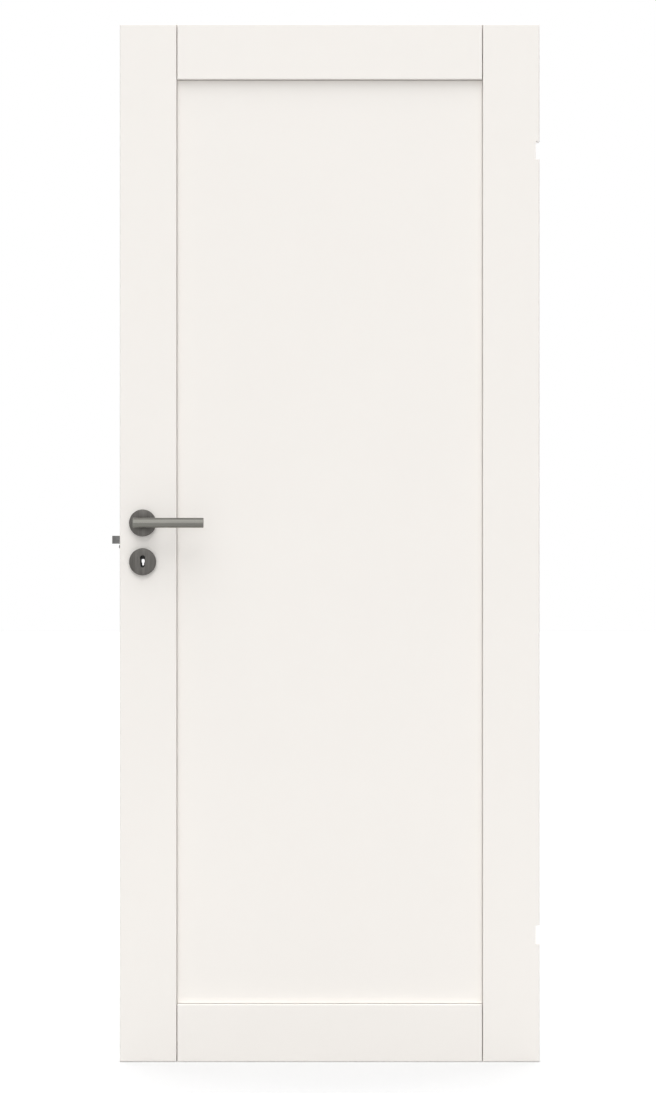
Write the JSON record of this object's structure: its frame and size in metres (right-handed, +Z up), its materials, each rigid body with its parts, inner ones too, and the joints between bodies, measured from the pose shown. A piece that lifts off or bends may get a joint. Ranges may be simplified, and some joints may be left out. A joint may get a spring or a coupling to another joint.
{
  "type": "interior door leaf",
  "caption": "White frame-and-panel interior door leaf with a mortise lock, a sprung latch bolt, a dead bolt and bar levers on round roses.",
  "frame": {"origin": "seat of the lower hinge: inner wall of the lower notch in the hinge edge, at mid-thickness and mid-height of the notch", "axes": "+X from the lock edge to the hinge edge, front face towards -Y, +Z up the leaf"},
  "size_m": [0.8412, 0.1596, 2.04],
  "materials": {
    "painted_wood": "sprayed satin white paint on primed board",
    "lever_steel": "brushed along the bar",
    "rose_steel": "dark satin, turned",
    "forend_steel": "brushed along its length",
    "bolt_steel": "zinc plated, satin",
    "case_paint": "black dipped",
    "base_nylon": "moulded, matt"
  },
  "bodies": {
    "leaf": {"lock_stile": "painted_wood", "hinge_stile": "painted_wood", "top_rail": "painted_wood", "bottom_rail": "painted_wood", "panel": "painted_wood", "lock_forend": "forend_steel", "lock_case": "case_paint", "front_rose": "rose_steel", "back_rose": "rose_steel", "front_escutcheon": "rose_steel", "back_escutcheon": "rose_steel", "front_rose_base": "base_nylon", "back_rose_base": "base_nylon", "front_escutcheon_base": "base_nylon", "back_escutcheon_base": "base_nylon"},
    "handles": {"front_lever": "lever_steel", "back_lever": "lever_steel", "spindle": "bolt_steel", "lock_follower": "bolt_steel"},
    "latch": {"latch_bolt": "bolt_steel"},
    "bolt": {"dead_bolt": "bolt_steel"}
  },
  "joints": [
    {"name": "lever_turn", "type": "hinge", "parent": "leaf", "child": "handles", "pos_m": [-0.7725, 0, 0.8094], "axis": [0, 1, 0], "range_deg": [0, 45], "stiffness_Nm_per_rad": 0.8, "springref_deg": -45.84},
    {"name": "latch_slide", "type": "slide", "parent": "leaf", "child": "latch", "axis": [1, 0, 0], "range_m": [0, 0.0158]},
    {"name": "dead_bolt_slide", "type": "slide", "parent": "leaf", "child": "bolt", "axis": [-1, 0, 0], "range_m": [0, 0.012]}
  ],
  "couplings": [
    {"joint": "latch_slide", "follows": "lever_turn", "m_per_rad": 0.020117}
  ]
}
